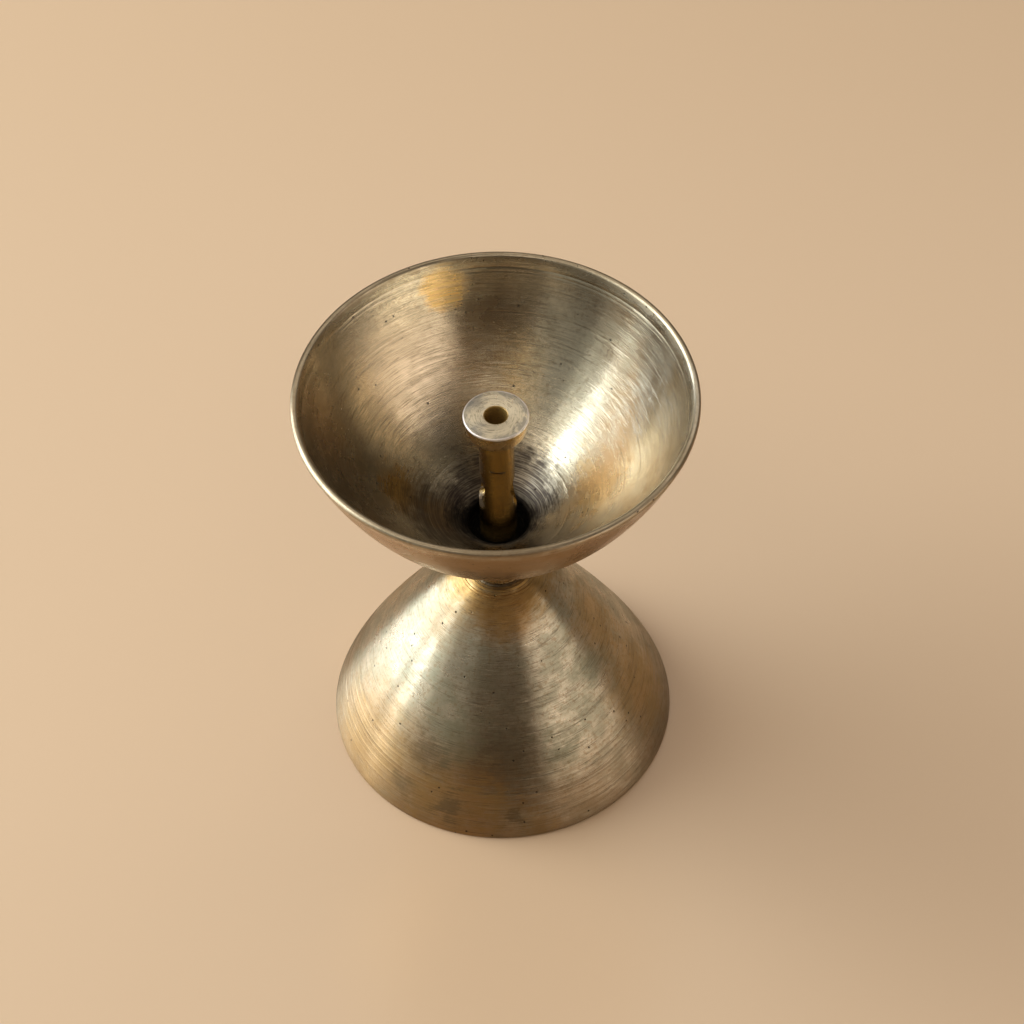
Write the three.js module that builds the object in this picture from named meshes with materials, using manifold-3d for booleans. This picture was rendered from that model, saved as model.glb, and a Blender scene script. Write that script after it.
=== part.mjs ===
// Double-bowl diya: a turned brass oil lamp in three pieces.
// A small bowl stands upside down as the foot, the oil bowl screws onto its top, and a
// tube with a wide head stands in the middle of the oil and holds the wick.
// Millimetres, +Z up, with the origin on the table under the centre of the foot.
import * as THREE from 'three';
import { mergeVertices } from 'three/addons/utils/BufferGeometryUtils.js';
import Module from 'manifold-3d';

const wasm = await Module();
wasm.setup();

// Heights above the table
const lampHeight = 74.8;
const baseHeight = 35.4;
const bowlRootHeight = 44.4;
const bowlFloorHeight = 46.6;
const headTopHeight = 70.5;
const portHeight = 55.4;

// Clearances between the pieces
const seatGap = 0.3;
const threadGap = 0.3;

// Foot bowl
const footRadius = 27.7;
const footLand = 1.1;
const footEdge = 0.35;
const baseWall = 1.5;
const landRadius = 5.4;
const landEdge = 0.25;
const shoulderAngle = 36;
const shoulderHandle = 10.4;
const footHandle = 3.2;
const bossDepth = 8;
const ceilingRound = 2.4;
const ceilingPull = 0.8;
const ceilingSpread = 2;

// Oil bowl
const rimRadius = 30;
const lipRadius = 0.58;
const lipTilt = 20;
const outerBelly = 3.1;
const innerBelly = 3.2;
const neckRadius = 4.3;
const neckEdge = 0.2;
const rootRadius = 6.4;
const rootFillet = 3;
const rootTightness = 0.25;
const wellRadius = 4.7;
const wellLip = 0.35;
const wellDepth = 2.4;

// Screw that joins the two bowls
const screwRadius = 2.9;
const screwLength = 7.3;
const screwChamfer = 0.5;

// Wick tube
const boreRadius = 1.7;
const boreChamfer = 0.2;
const boreReach = 3.4;
const drillTipAngle = 31;
const stemTopRadius = 2.65;
const stemFootRadius = 2.85;
const headRadius = 4.92;
const headTaper = 0.35;
const headDepth = 3.6;
const headEdge = 0.2;
const headUndercut = 1.1;
const peg = { radius: 1.9, length: 5.1, chamfer: 0.3 };
const pegSocketSpare = 0.6;
const portRadius = 2.1;
const oilWay = { radius: 1.6, rightAngle: 45, leftAngle: 28 };

// Facets
const bowlFacets = 72;
const tubeFacets = 48;
const drillFacets = 32;
const curveSteps = 12;
const outlineSteps = 14;
const insideSteps = 20;
const lipSteps = 6;
const filletSteps = 4;
const edgeSteps = 3;

// Brass, a little paler in the oil bowl and warmer on the tube
const baseBrass = { color: 0x9c8a5c, roughness: 0.38, metalness: 1 };
const bowlBrass = { color: 0xa8966a, roughness: 0.4, metalness: 1 };
const tubeBrass = { color: 0xb09458, roughness: 0.35, metalness: 1 };

const point = (radius, height) => new THREE.Vector2(radius, height);
const radians = THREE.MathUtils.degToRad;

// Points of an arc from start to end that stands out by belly to the right of its chord
function belliedArc(start, end, belly) {
  const chord = end.clone().sub(start);
  const half = chord.length() / 2;
  const radius = (half * half + belly * belly) / (2 * belly);
  const outward = point(chord.y, -chord.x).normalize();
  const centre = start.clone().add(end).multiplyScalar(0.5).addScaledVector(outward, belly - radius);
  const from = start.clone().sub(centre).angle();
  const sweep = 2 * Math.asin(half / radius);
  return Array.from({ length: curveSteps + 1 }, (_, i) => {
    const angle = from + (sweep * i) / curveSteps;
    return point(centre.x + radius * Math.cos(angle), centre.y + radius * Math.sin(angle));
  });
}

// Points round a centre, from one angle to another, in degrees
function roundEdge(centre, radius, fromDeg, toDeg, steps) {
  return Array.from({ length: steps + 1 }, (_, i) => {
    const angle = radians(fromDeg + ((toDeg - fromDeg) * i) / steps);
    return point(centre.x + radius * Math.cos(angle), centre.y + radius * Math.sin(angle));
  });
}

// A solid turned about the Z axis from a profile of radius and height
function turned(profile, facets) {
  const lathe = new THREE.LatheGeometry(profile, facets).rotateX(Math.PI / 2);
  return solidOf(lathe);
}

// A closed geometry as a solid that can be cut and joined
function solidOf(geometry) {
  const bare = geometry.index ? geometry : mergeVertices(geometry);
  bare.deleteAttribute('normal');
  bare.deleteAttribute('uv');
  const merged = mergeVertices(bare, 1e-5);
  const corners = merged.index.array;
  const kept = [];
  for (let i = 0; i < corners.length; i += 3) {
    const [a, b, c] = [corners[i], corners[i + 1], corners[i + 2]];
    if (a !== b && b !== c && c !== a) kept.push(a, b, c);
  }
  const triVerts = Uint32Array.from(kept);
  const vertProperties = Float32Array.from(merged.attributes.position.array);
  return new wasm.Manifold(new wasm.Mesh({ numProp: 3, vertProperties, triVerts }));
}

// A cylinder that lies along X, turned about Y by a slope and moved to its place
function drill(radius, length, slopeDeg, place) {
  const bar = new THREE.CylinderGeometry(radius, radius, length, drillFacets).rotateZ(Math.PI / 2);
  bar.rotateY(radians(slopeDeg)).translate(place.x, place.y, place.z);
  return solidOf(bar);
}

// A drill that starts on the tube's axis at the port and runs out and down to one side
function oilWayDrill(side, angle) {
  const half = stemFootRadius;
  const slope = radians(angle);
  const place = new THREE.Vector3(side * half * Math.cos(slope), 0, portHeight - half * Math.sin(slope));
  return drill(oilWay.radius, half * 2, side * angle, place);
}

function brassMesh(name, solid, brass) {
  const { vertProperties, triVerts } = solid.getMesh();
  const geometry = new THREE.BufferGeometry();
  geometry.setAttribute('position', new THREE.BufferAttribute(Float32Array.from(vertProperties), 3));
  geometry.setIndex(new THREE.BufferAttribute(Uint32Array.from(triVerts), 1));
  geometry.computeVertexNormals();
  const mesh = new THREE.Mesh(geometry, new THREE.MeshStandardMaterial(brass));
  mesh.name = name;
  return mesh;
}

// Outer curve of the foot bowl, from the land at its top down to its foot
function baseOutline() {
  const slope = radians(shoulderAngle);
  const top = point(landRadius, baseHeight - landEdge);
  const foot = point(footRadius, footEdge);
  return new THREE.CubicBezierCurve(
    top,
    point(top.x + shoulderHandle * Math.cos(slope), top.y - shoulderHandle * Math.sin(slope)),
    point(foot.x, foot.y + footHandle),
    foot,
  );
}

// Inner curve of the foot bowl: the outer curve moved in by the wall, from the foot to the ceiling
function baseInside(outline, ceiling) {
  const inside = [];
  for (let i = insideSteps; i >= 0; i -= 1) {
    const t = i / insideSteps;
    const along = outline.getTangent(t);
    const at = outline.getPoint(t).add(point(along.y, -along.x).multiplyScalar(baseWall));
    if (at.y > footEdge && at.y < ceiling - ceilingRound) inside.push(at);
  }
  const last = inside.at(-1);
  const corner = new THREE.QuadraticBezierCurve(
    last,
    point(last.x - (ceiling - last.y) * ceilingPull, ceiling),
    point(last.x - (ceiling - last.y) * ceilingSpread, ceiling),
  );
  return [...inside, ...corner.getPoints(filletSteps).slice(1)];
}

// The foot: an upside-down bowl with a flat land on top and a tapped hole through its boss
function footBowl() {
  const holeRadius = screwRadius + threadGap;
  const ceiling = baseHeight - bossDepth;
  const outline = baseOutline();
  const profile = [
    point(holeRadius, baseHeight),
    point(landRadius - landEdge, baseHeight),
    ...outline.getPoints(outlineSteps),
    point(footRadius - footEdge, 0),
    point(footRadius - footLand, 0),
    point(footRadius - Math.max(footLand + footEdge, baseWall), footEdge),
    ...baseInside(outline, ceiling),
    point(holeRadius, ceiling),
    point(holeRadius, baseHeight),
  ];
  return turned(profile.reverse(), bowlFacets);
}

// The oil bowl: a thin wall from the rim down to the well, and a neck with the screw under it
function oilBowl() {
  const neckBottom = baseHeight + seatGap;
  const screwEnd = neckBottom - screwLength;
  const lipCentre = point(rimRadius - lipRadius, lampHeight - lipRadius);
  const lip = roundEdge(lipCentre, lipRadius, -lipTilt, 180 - lipTilt, lipSteps);
  const root = point(rootRadius, bowlRootHeight);
  const fillet = new THREE.QuadraticBezierCurve(
    point(neckRadius, bowlRootHeight - rootFillet),
    point(neckRadius, bowlRootHeight - rootFillet * rootTightness),
    root,
  );
  const wellFloor = bowlFloorHeight - wellDepth;
  const wellTop = point(wellRadius + wellLip, bowlFloorHeight);
  const socketRadius = peg.radius + threadGap;
  const socketEnd = wellFloor + seatGap - peg.length - pegSocketSpare;
  const inner = belliedArc(wellTop, lip.at(-1), innerBelly).reverse();
  const profile = [
    point(0, screwEnd),
    point(screwRadius - screwChamfer, screwEnd),
    point(screwRadius, screwEnd + screwChamfer),
    point(screwRadius, neckBottom),
    point(neckRadius - neckEdge, neckBottom),
    point(neckRadius, neckBottom + neckEdge),
    ...fillet.getPoints(filletSteps),
    ...belliedArc(root, lip[0], outerBelly).slice(1),
    ...lip.slice(1),
    ...inner.slice(1),
    ...roundEdge(point(wellTop.x, wellTop.y - wellLip), wellLip, 90, 180, edgeSteps).slice(1),
    point(wellRadius, wellFloor),
    point(socketRadius, wellFloor),
    point(socketRadius, socketEnd),
    point(0, socketEnd),
  ];
  return turned(profile, bowlFacets);
}

// The wick tube: a wide drilled head on a stem, an oil port across it and a threaded peg below
function wickTube() {
  const footHeight = bowlFloorHeight - wellDepth + seatGap;
  const headBottom = headTopHeight - headDepth;
  const headRoot = headBottom + headUndercut;
  const boreEnd = portHeight - boreReach;
  const profile = [
    point(0, footHeight - peg.length),
    point(peg.radius - peg.chamfer, footHeight - peg.length),
    point(peg.radius, footHeight - peg.length + peg.chamfer),
    point(peg.radius, footHeight),
    point(stemFootRadius, footHeight),
    point(stemFootRadius, portHeight),
    point(stemTopRadius, portHeight + portRadius),
    point(stemTopRadius, headBottom),
    ...new THREE.QuadraticBezierCurve(
      point(stemTopRadius, headBottom),
      point(headRadius - headTaper, headBottom),
      point(headRadius - headTaper, headRoot),
    ).getPoints(filletSteps).slice(1),
    point(headRadius, headTopHeight - headEdge),
    point(headRadius - headEdge, headTopHeight),
    point(boreRadius + boreChamfer, headTopHeight),
    point(boreRadius, headTopHeight - boreChamfer),
    point(boreRadius, boreEnd),
    point(0, boreEnd - boreRadius * Math.tan(radians(drillTipAngle))),
  ];
  const port = drill(portRadius, stemFootRadius * 4, 0, new THREE.Vector3(0, 0, portHeight));
  const rightWay = oilWayDrill(1, oilWay.rightAngle);
  const leftWay = oilWayDrill(-1, oilWay.leftAngle);
  return turned(profile, tubeFacets).subtract(port).subtract(rightWay).subtract(leftWay);
}

const lamp = new THREE.Group();
lamp.add(brassMesh('base_bowl', footBowl(), baseBrass));
lamp.add(brassMesh('oil_bowl', oilBowl(), bowlBrass));
lamp.add(brassMesh('wick_tube', wickTube(), tubeBrass));

export default lamp;
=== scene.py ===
"""Looks of a turned brass double-bowl lamp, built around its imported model."""

import logging
import math
from dataclasses import KW_ONLY, dataclass, field, replace
from enum import Enum
from typing import Any, ClassVar, Optional

import bmesh
import bpy
from mathutils import Matrix, Vector

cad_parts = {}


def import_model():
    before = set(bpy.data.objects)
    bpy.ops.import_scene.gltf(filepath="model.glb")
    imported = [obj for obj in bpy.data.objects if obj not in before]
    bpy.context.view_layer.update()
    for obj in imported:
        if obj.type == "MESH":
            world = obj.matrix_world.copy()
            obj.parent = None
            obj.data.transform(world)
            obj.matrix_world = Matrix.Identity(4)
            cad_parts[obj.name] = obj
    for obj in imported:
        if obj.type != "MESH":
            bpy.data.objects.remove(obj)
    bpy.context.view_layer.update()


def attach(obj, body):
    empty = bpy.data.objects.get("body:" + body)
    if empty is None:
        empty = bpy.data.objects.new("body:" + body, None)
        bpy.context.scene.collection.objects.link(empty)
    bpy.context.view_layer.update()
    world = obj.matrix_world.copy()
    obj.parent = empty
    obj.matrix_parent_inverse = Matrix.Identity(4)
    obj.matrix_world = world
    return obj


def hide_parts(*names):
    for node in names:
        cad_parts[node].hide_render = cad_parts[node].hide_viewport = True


MM = 0.001
FULL_TURN = 2.0 * math.pi
IMAGE_SIDE = 1024
SHARP_ANGLE = math.radians(32)
MERGE_REACH = 1e-7
SLIVER = 1e-8
DRILL_FACETS = 64
INSIDE = "inside"
TOWARD_AXIS = 0.12
TOWARD_MOUTH = 0.75

log = logging.getLogger("diya")

Point = tuple[float, float]
Triple = tuple[float, float, float]
Colour = tuple[float, float, float, float]
Thing = bpy.types.Object
Tree = bpy.types.NodeTree
Socket = bpy.types.NodeSocket


def arc_points(start: Point, end: Point, belly: float, steps: int) -> list[Point]:
    """Points of an arc that stands out by belly to the right of its chord.

    Args:
        start: first point, as radius and height.
        end: last point.
        belly: how far the arc stands out from the chord.
        steps: number of stretches.

    Returns:
        The points, both ends included.
    """
    dx, dy = end[0] - start[0], end[1] - start[1]
    half = math.hypot(dx, dy) / 2
    radius = (half * half + belly * belly) / (2 * belly)
    out_x, out_y = dy / (2 * half), -dx / (2 * half)
    cx = (start[0] + end[0]) / 2 + out_x * (belly - radius)
    cy = (start[1] + end[1]) / 2 + out_y * (belly - radius)
    first = math.degrees(math.atan2(start[1] - cy, start[0] - cx))
    sweep = math.degrees(2 * math.asin(half / radius))
    return round_points((cx, cy), radius, first, first + sweep, steps)


def round_points(
    centre: Point, radius: float, start_deg: float, end_deg: float, steps: int
) -> list[Point]:
    """Points round a centre from one angle to another.

    Args:
        centre: middle of the round edge.
        radius: its radius.
        start_deg: first angle in degrees.
        end_deg: last angle in degrees.
        steps: number of stretches.

    Returns:
        The points, both ends included.
    """
    turns = [math.radians(start_deg + (end_deg - start_deg) * i / steps) for i in range(steps + 1)]
    return [(centre[0] + radius * math.cos(a), centre[1] + radius * math.sin(a)) for a in turns]


def bezier_points(corners: list[Point], steps: int) -> list[Point]:
    """Points of a Bezier curve of any degree.

    Args:
        corners: its control points.
        steps: number of stretches.

    Returns:
        The points, both ends included.
    """
    degree = len(corners) - 1
    points = []
    for i in range(steps + 1):
        t = i / steps
        weights = [math.comb(degree, k) * t**k * (1 - t) ** (degree - k) for k in range(degree + 1)]
        points.append(tuple(sum(w * c[axis] for w, c in zip(weights, corners)) for axis in (0, 1)))
    return points


@dataclass(frozen=True)
class Score:
    """A fine groove that the tool cut round a turned face, placed along its outline."""

    along: float
    width: float
    depth: float


def scored(outline: list[Point], scores: tuple[Score, ...]) -> list[Point]:
    """Cuts fine grooves into an outline.

    Args:
        outline: points of the outline, with the metal on the left of its run.
        scores: the grooves, each placed by its distance from the start of the outline.

    Returns:
        The outline with three more points for each groove.
    """
    lengths = [0.0]
    for before, after in zip(outline, outline[1:]):
        lengths.append(lengths[-1] + math.dist(before, after))

    def at(distance: float, sunk: float) -> Point:
        """The point at a distance along the outline, sunk into the metal.

        Args:
            distance: how far along the outline it lies.
            sunk: how deep it lies.

        Returns:
            The point.
        """
        i = max(k for k, run in enumerate(lengths[:-1]) if run <= distance)
        dx, dy = outline[i + 1][0] - outline[i][0], outline[i + 1][1] - outline[i][1]
        run = lengths[i + 1] - lengths[i]
        t = (distance - lengths[i]) / run
        return outline[i][0] + dx * t - dy / run * sunk, outline[i][1] + dy * t + dx / run * sunk

    stops = list(zip(lengths, outline))
    for score in scores:
        first, last = score.along - score.width / 2, score.along + score.width / 2
        stops = [stop for stop in stops if not first <= stop[0] <= last]
        cut = ((first, 0.0), (score.along, score.depth), (last, 0.0))
        stops += [(distance, at(distance, sunk)) for distance, sunk in cut]
    return [place for _, place in sorted(stops)]


def add_object(name: str, data: Any) -> Thing:
    """Makes an object and links it into the scene.

    Args:
        name: the object's name.
        data: its mesh, light or camera.

    Returns:
        The new object.
    """
    thing = bpy.data.objects.new(name, data)
    bpy.context.scene.collection.objects.link(thing)
    return thing


def add_shell(name: str, shell: bmesh.types.BMesh) -> Thing:
    """Makes an object from a bmesh and frees the bmesh.

    Args:
        name: the object's name.
        shell: its surface, in metres.

    Returns:
        The new object.
    """
    mesh = bpy.data.meshes.new(name)
    shell.to_mesh(mesh)
    shell.free()
    return add_object(name, mesh)


def shade(mesh: bpy.types.Mesh) -> None:
    """Shades a mesh smooth, but not across its sharp edges.

    Args:
        mesh: the mesh.
    """
    mesh.shade_smooth()
    mesh.set_sharp_from_angle(angle=SHARP_ANGLE)


def new_piece(name: str, shell: bmesh.types.BMesh) -> Thing:
    """Makes a shaded piece from a closed surface.

    Args:
        name: the piece's name.
        shell: its surface, in metres.

    Returns:
        The new object.
    """
    bmesh.ops.recalc_face_normals(shell, faces=shell.faces)
    piece = add_shell(name, shell)
    shade(piece.data)
    return piece


def close_ends(shell: bmesh.types.BMesh, sides: int) -> None:
    """Closes both open ends of a wound ridge.

    Args:
        shell: the ridge's surface.
        sides: number of its sides.
    """
    open_edges = [edge for edge in shell.edges if edge.is_boundary]
    bmesh.ops.holes_fill(shell, edges=open_edges, sides=sides)


def turned_piece(name: str, profile: list[Point], facets: int) -> Thing:
    """A solid turned about the Z axis.

    Args:
        name: the piece's name.
        profile: radius and height in millimetres; it starts and ends on the axis or closes on itself.
        facets: number of flats round the axis.

    Returns:
        The new object.
    """
    shell = bmesh.new()
    corners = [shell.verts.new((r * MM, 0.0, z * MM)) for r, z in profile]
    edges = [shell.edges.new(pair) for pair in zip(corners, corners[1:])]
    if profile[0][0] > 0:
        edges.append(shell.edges.new((corners[-1], corners[0])))
    bmesh.ops.spin(
        shell,
        geom=corners + edges,
        cent=(0, 0, 0),
        axis=(0, 0, 1),
        angle=FULL_TURN,
        steps=facets,
        use_merge=True,
    )
    bmesh.ops.remove_doubles(shell, verts=shell.verts, dist=MERGE_REACH)
    bmesh.ops.dissolve_degenerate(shell, edges=shell.edges, dist=SLIVER)
    return new_piece(name, shell)


@dataclass(frozen=True)
class Thread:
    """A helical ridge on a screw, or in a hole where its crest lies nearer the axis than its root."""

    name: str
    root: float
    crest: float
    pitch: float
    low: float
    high: float
    crest_share: float = 0.12
    root_share: float = 0.92
    facets: int = 48

    def build(self) -> Thing:
        """Winds the ridge up its axis and closes both ends.

        Returns:
            The new object.
        """
        shell = bmesh.new()
        half, tip = self.pitch * self.root_share / 2, self.pitch * self.crest_share / 2
        ridge = [(self.root, -half), (self.crest, -tip), (self.crest, tip), (self.root, half)]
        start = self.low + half
        corners = [shell.verts.new((r * MM, 0.0, (start + z) * MM)) for r, z in ridge]
        edges = [shell.edges.new(pair) for pair in zip(corners, corners[1:] + corners[:1])]
        turns = (self.high - self.low - 2 * half) / self.pitch
        steps = round(turns * self.facets)
        bmesh.ops.spin(
            shell,
            geom=corners + edges,
            cent=(0, 0, 0),
            axis=(0, 0, 1),
            dvec=(0, 0, self.pitch * MM / self.facets),
            angle=FULL_TURN * steps / self.facets,
            steps=steps,
            use_merge=False,
        )
        close_ends(shell, len(ridge))
        return new_piece(self.name, shell)


def cut_with_bar(piece: Thing, radius: float, length: float, slope_deg: float, place: Vector) -> None:
    """Drills a piece with a bar that lies along X, tipped about Y.

    Args:
        piece: what is drilled.
        radius: the drill's radius in millimetres.
        length: the drill's length in millimetres.
        slope_deg: how far it is tipped down towards +X.
        place: its middle in millimetres.
    """
    drill = bmesh.new()
    bmesh.ops.create_cone(
        drill,
        cap_ends=True,
        segments=DRILL_FACETS,
        radius1=radius * MM,
        radius2=radius * MM,
        depth=length * MM,
    )
    lie = Matrix.Rotation(math.pi / 2, 4, "Y")
    tip = Matrix.Rotation(math.radians(slope_deg), 4, "Y")
    bmesh.ops.transform(drill, matrix=Matrix.Translation(place * MM) @ tip @ lie, verts=drill.verts)
    bar = add_shell("drill", drill)
    cut = piece.modifiers.new("port", "BOOLEAN")
    cut.operation = "DIFFERENCE"
    cut.solver = "EXACT"
    cut.object = bar
    graph = bpy.context.evaluated_depsgraph_get()
    drilled = bpy.data.meshes.new_from_object(piece.evaluated_get(graph))
    piece.modifiers.clear()
    old = piece.data
    piece.data = drilled
    bpy.data.meshes.remove(old)
    bpy.data.objects.remove(bar)


def mark_inside(mesh: bpy.types.Mesh, opens: float) -> None:
    """Marks the points of a mesh that face the axis, or out of the hollow's mouth.

    Args:
        mesh: the mesh that gets the mark as a point attribute.
        opens: 1 where the hollow opens upwards, -1 downwards, 0 where no flat face belongs to it.
    """
    marks = mesh.attributes.new(INSIDE, "FLOAT", "POINT")
    for vertex, mark in zip(mesh.vertices, marks.data):
        outward = Vector((vertex.co.x, vertex.co.y, 0.0)).normalized()
        faces_axis = vertex.normal.dot(outward) < -TOWARD_AXIS
        faces_mouth = vertex.normal.z * opens > TOWARD_MOUTH
        mark.value = 1.0 if faces_axis or faces_mouth else 0.0


class Graph:
    """A shader graph that is written from left to right."""

    def __init__(self, tree: Tree) -> None:
        """Takes the node tree that the nodes go into."""
        self.tree = tree

    def add(self, kind: str, settings: Optional[dict[str, Any]] = None, **sockets: Any) -> bpy.types.Node:
        """Adds a node.

        Args:
            kind: the node's type.
            settings: its own properties.
            sockets: value or output for each input, by its name with _ for spaces.

        Returns:
            The node.
        """
        node = self.tree.nodes.new(kind)
        for key, value in (settings or {}).items():
            setattr(node, key, value)
        for key, value in sockets.items():
            self.feed(node, key.replace("_", " "), value)
        return node

    def feed(self, node: bpy.types.Node, socket: Any, value: Any) -> None:
        """Sets an input, or links it where the value is an output.

        Args:
            node: the node.
            socket: name or number of the input.
            value: a plain value or another node's output.
        """
        target = node.inputs[socket]
        if isinstance(value, Socket):
            self.tree.links.new(value, target)
        else:
            target.default_value = value

    def math(self, operation: str, a: Any, b: Any = 0.0) -> Socket:
        """Adds a Math node.

        Args:
            operation: its operation.
            a: first value or output.
            b: second value or output.

        Returns:
            Its output.
        """
        node = self.tree.nodes.new("ShaderNodeMath")
        node.operation = operation
        self.feed(node, 0, a)
        self.feed(node, 1, b)
        return node.outputs[0]

    def times(self, a: Any, b: Any) -> Socket:
        """Multiplies two values."""
        return self.math("MULTIPLY", a, b)

    def plus(self, a: Any, b: Any) -> Socket:
        """Adds two values."""
        return self.math("ADD", a, b)

    def minus(self, a: Any, b: Any) -> Socket:
        """Takes the second value from the first."""
        return self.math("SUBTRACT", a, b)

    def vector(self, operation: str, **sockets: Any) -> Any:
        """Adds a Vector Math node, and gives its outputs."""
        return self.add("ShaderNodeVectorMath", {"operation": operation}, **sockets).outputs

    def effect(self, group: Tree, where: Any, **sockets: Any) -> Any:
        """Adds a shared effect that reads a place, and gives its outputs."""
        return self.add("ShaderNodeGroup", {"node_tree": group}, Vector=where, **sockets).outputs

    def spread(self, value: Any, low: Any, high: Any, to_low: float = 0.0, to_high: float = 1.0) -> Any:
        """Maps a stretch of values smoothly onto another.

        Args:
            value: the output to map.
            low: where the old stretch begins.
            high: where it ends.
            to_low: result at low.
            to_high: result at high.

        Returns:
            The output.
        """
        node = self.tree.nodes.new("ShaderNodeMapRange")
        node.interpolation_type = "SMOOTHSTEP"
        self.feed(node, "Value", value)
        ends = {"From Min": low, "From Max": high, "To Min": to_low, "To Max": to_high}
        for name, number in ends.items():
            self.feed(node, name, number)
        return node.outputs["Result"]

    def mix(self, factor: Any, a: Any, b: Any) -> Socket:
        """Mixes two colours.

        Args:
            factor: share of the second colour.
            a: first colour or output.
            b: second colour or output.

        Returns:
            The mixed colour.
        """
        node = self.tree.nodes.new("ShaderNodeMix")
        node.data_type = "RGBA"
        self.feed(node, 0, factor)
        self.feed(node, 6, a)
        self.feed(node, 7, b)
        return node.outputs[2]

    def noise(self, place: Any, scale: Any, detail: float = 2.0, roughness: float = 0.5) -> Any:
        """Adds a Noise Texture.

        Args:
            place: the place that it reads.
            scale: its scale.
            detail: how many finer layers it has.
            roughness: how strong they are.

        Returns:
            Its output, about 0.5 on the whole.
        """
        sizes = {"Scale": scale, "Detail": detail, "Roughness": roughness}
        return self.add("ShaderNodeTexNoise", Vector=place, **sizes).outputs[0]

    def turned_place(self, where: Any) -> tuple[Any, Any, Any, Any]:
        """Reads a place on a turned piece.

        Args:
            where: the place.

        Returns:
            Its radius, its height, and the two parts of its direction from the axis.
        """
        parts = self.add("ShaderNodeSeparateXYZ", Vector=where)
        across, deep, height = (parts.outputs[axis] for axis in "XYZ")
        flat = self.add("ShaderNodeCombineXYZ", X=across, Y=deep, Z=0.0).outputs[0]
        radius = self.vector("LENGTH", Vector=flat)["Value"]
        turn = self.add("ShaderNodeSeparateXYZ", Vector=self.vector("NORMALIZE", Vector=flat)[0])
        return radius, height, turn.outputs["X"], turn.outputs["Y"]

    def ringed(self, place: tuple[Any, Any, Any, Any], fineness: Any, wander: Any) -> Any:
        """Stretches a place along the cuts, so that a pattern that reads it runs in rings.

        Args:
            place: radius, height and direction, from turned_place.
            fineness: how close the rings lie, per metre.
            wander: how much they change on their way round.

        Returns:
            The stretched place.
        """
        radius, height, side, ahead = place
        across = self.plus(self.times(radius, fineness), self.times(side, wander))
        up = self.times(height, fineness)
        round_it = self.times(ahead, wander)
        return self.add("ShaderNodeCombineXYZ", X=across, Y=up, Z=round_it).outputs[0]


def new_group(name: str, inputs: dict[str, Any], outputs: list[str]) -> tuple[Tree, Graph, Any]:
    """Starts a shader node group.

    Args:
        name: the group's name.
        inputs: its inputs after Vector, and their first values.
        outputs: its outputs.

    Returns:
        The group, its graph and the node that holds its inputs.
    """
    tree = bpy.data.node_groups.new(name, "ShaderNodeTree")
    tree.interface.new_socket("Vector", in_out="INPUT", socket_type="NodeSocketVector")
    for label, value in inputs.items():
        kind = "NodeSocketVector" if isinstance(value, tuple) else "NodeSocketFloat"
        tree.interface.new_socket(label, in_out="INPUT", socket_type=kind).default_value = value
    for label in outputs:
        tree.interface.new_socket(label, in_out="OUTPUT", socket_type="NodeSocketFloat")
    graph = Graph(tree)
    return tree, graph, graph.add("NodeGroupInput").outputs


def close_group(graph: Graph, **results: Any) -> None:
    """Feeds the outputs of a node group.

    Args:
        graph: the group's graph.
        results: each output by name.
    """
    last = graph.add("NodeGroupOutput")
    for label, value in results.items():
        graph.feed(last, label, value)


def turning_marks() -> Tree:
    """Marks of the lathe tool: a fine grain, broader ripples and thin dark lines that come and go.

    Returns:
        The node group, with outputs Grain, Ripple, Lines and Ridges.
    """
    inputs = {"Fineness": 11000.0, "Wander": 4.0}
    tree, graph, given = new_group("turning_marks", inputs, ["Grain", "Ripple", "Lines", "Ridges"])
    place = graph.turned_place(given["Vector"])
    rings = graph.ringed(place, given["Fineness"], given["Wander"])
    ripple_scale, cut_scale, patch_fineness, faintest = 0.17, 0.42, 900.0, 0.15
    line_edge, patch_band, ridge_band = (0.008, 0.045), (0.38, 0.58), (0.44, 0.6)
    grain = graph.noise(rings, 1.0, 2.0, 0.6)
    ripple = graph.noise(rings, ripple_scale, 3.0, 0.65)
    cuts = graph.noise(rings, cut_scale, 1.5, 0.6)
    off_middle = graph.math("ABSOLUTE", graph.minus(cuts, 0.5))
    thin = graph.spread(off_middle, *line_edge, 1.0, 0.0)
    patches = graph.noise(graph.ringed(place, patch_fineness, 4.0), 1.0, 4.0, 0.65)
    lines = graph.times(thin, graph.spread(patches, *patch_band, faintest, 1.0))
    ridges = graph.spread(cuts, *ridge_band)
    close_group(graph, Grain=grain, Ripple=ripple, Lines=lines, Ridges=ridges)
    return tree


def casting_pits() -> Tree:
    """Small casting pits, here and there.

    Returns:
        The node group, with output Pits.
    """
    inputs = {"Spacing": 420.0, "Size": 0.06, "Share": 0.5}
    tree, graph, given = new_group("casting_pits", inputs, ["Pits"])
    ragged_scale, ragged, edge_shift, edge_width = 4000.0, 0.1, 0.03, 0.035
    cells = graph.add("ShaderNodeTexVoronoi", Vector=given["Vector"], Scale=given["Spacing"])
    wobble = graph.times(graph.noise(given["Vector"], ragged_scale), ragged)
    edge = graph.plus(cells.outputs["Distance"], wobble)
    low = graph.plus(given["Size"], edge_shift)
    spot = graph.spread(edge, low, graph.plus(low, edge_width), 1.0, 0.0)
    picked = graph.add("ShaderNodeSeparateColor", Color=cells.outputs["Color"]).outputs[0]
    chosen = graph.math("LESS_THAN", picked, given["Share"])
    close_group(graph, Pits=graph.times(spot, chosen))
    return tree


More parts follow.
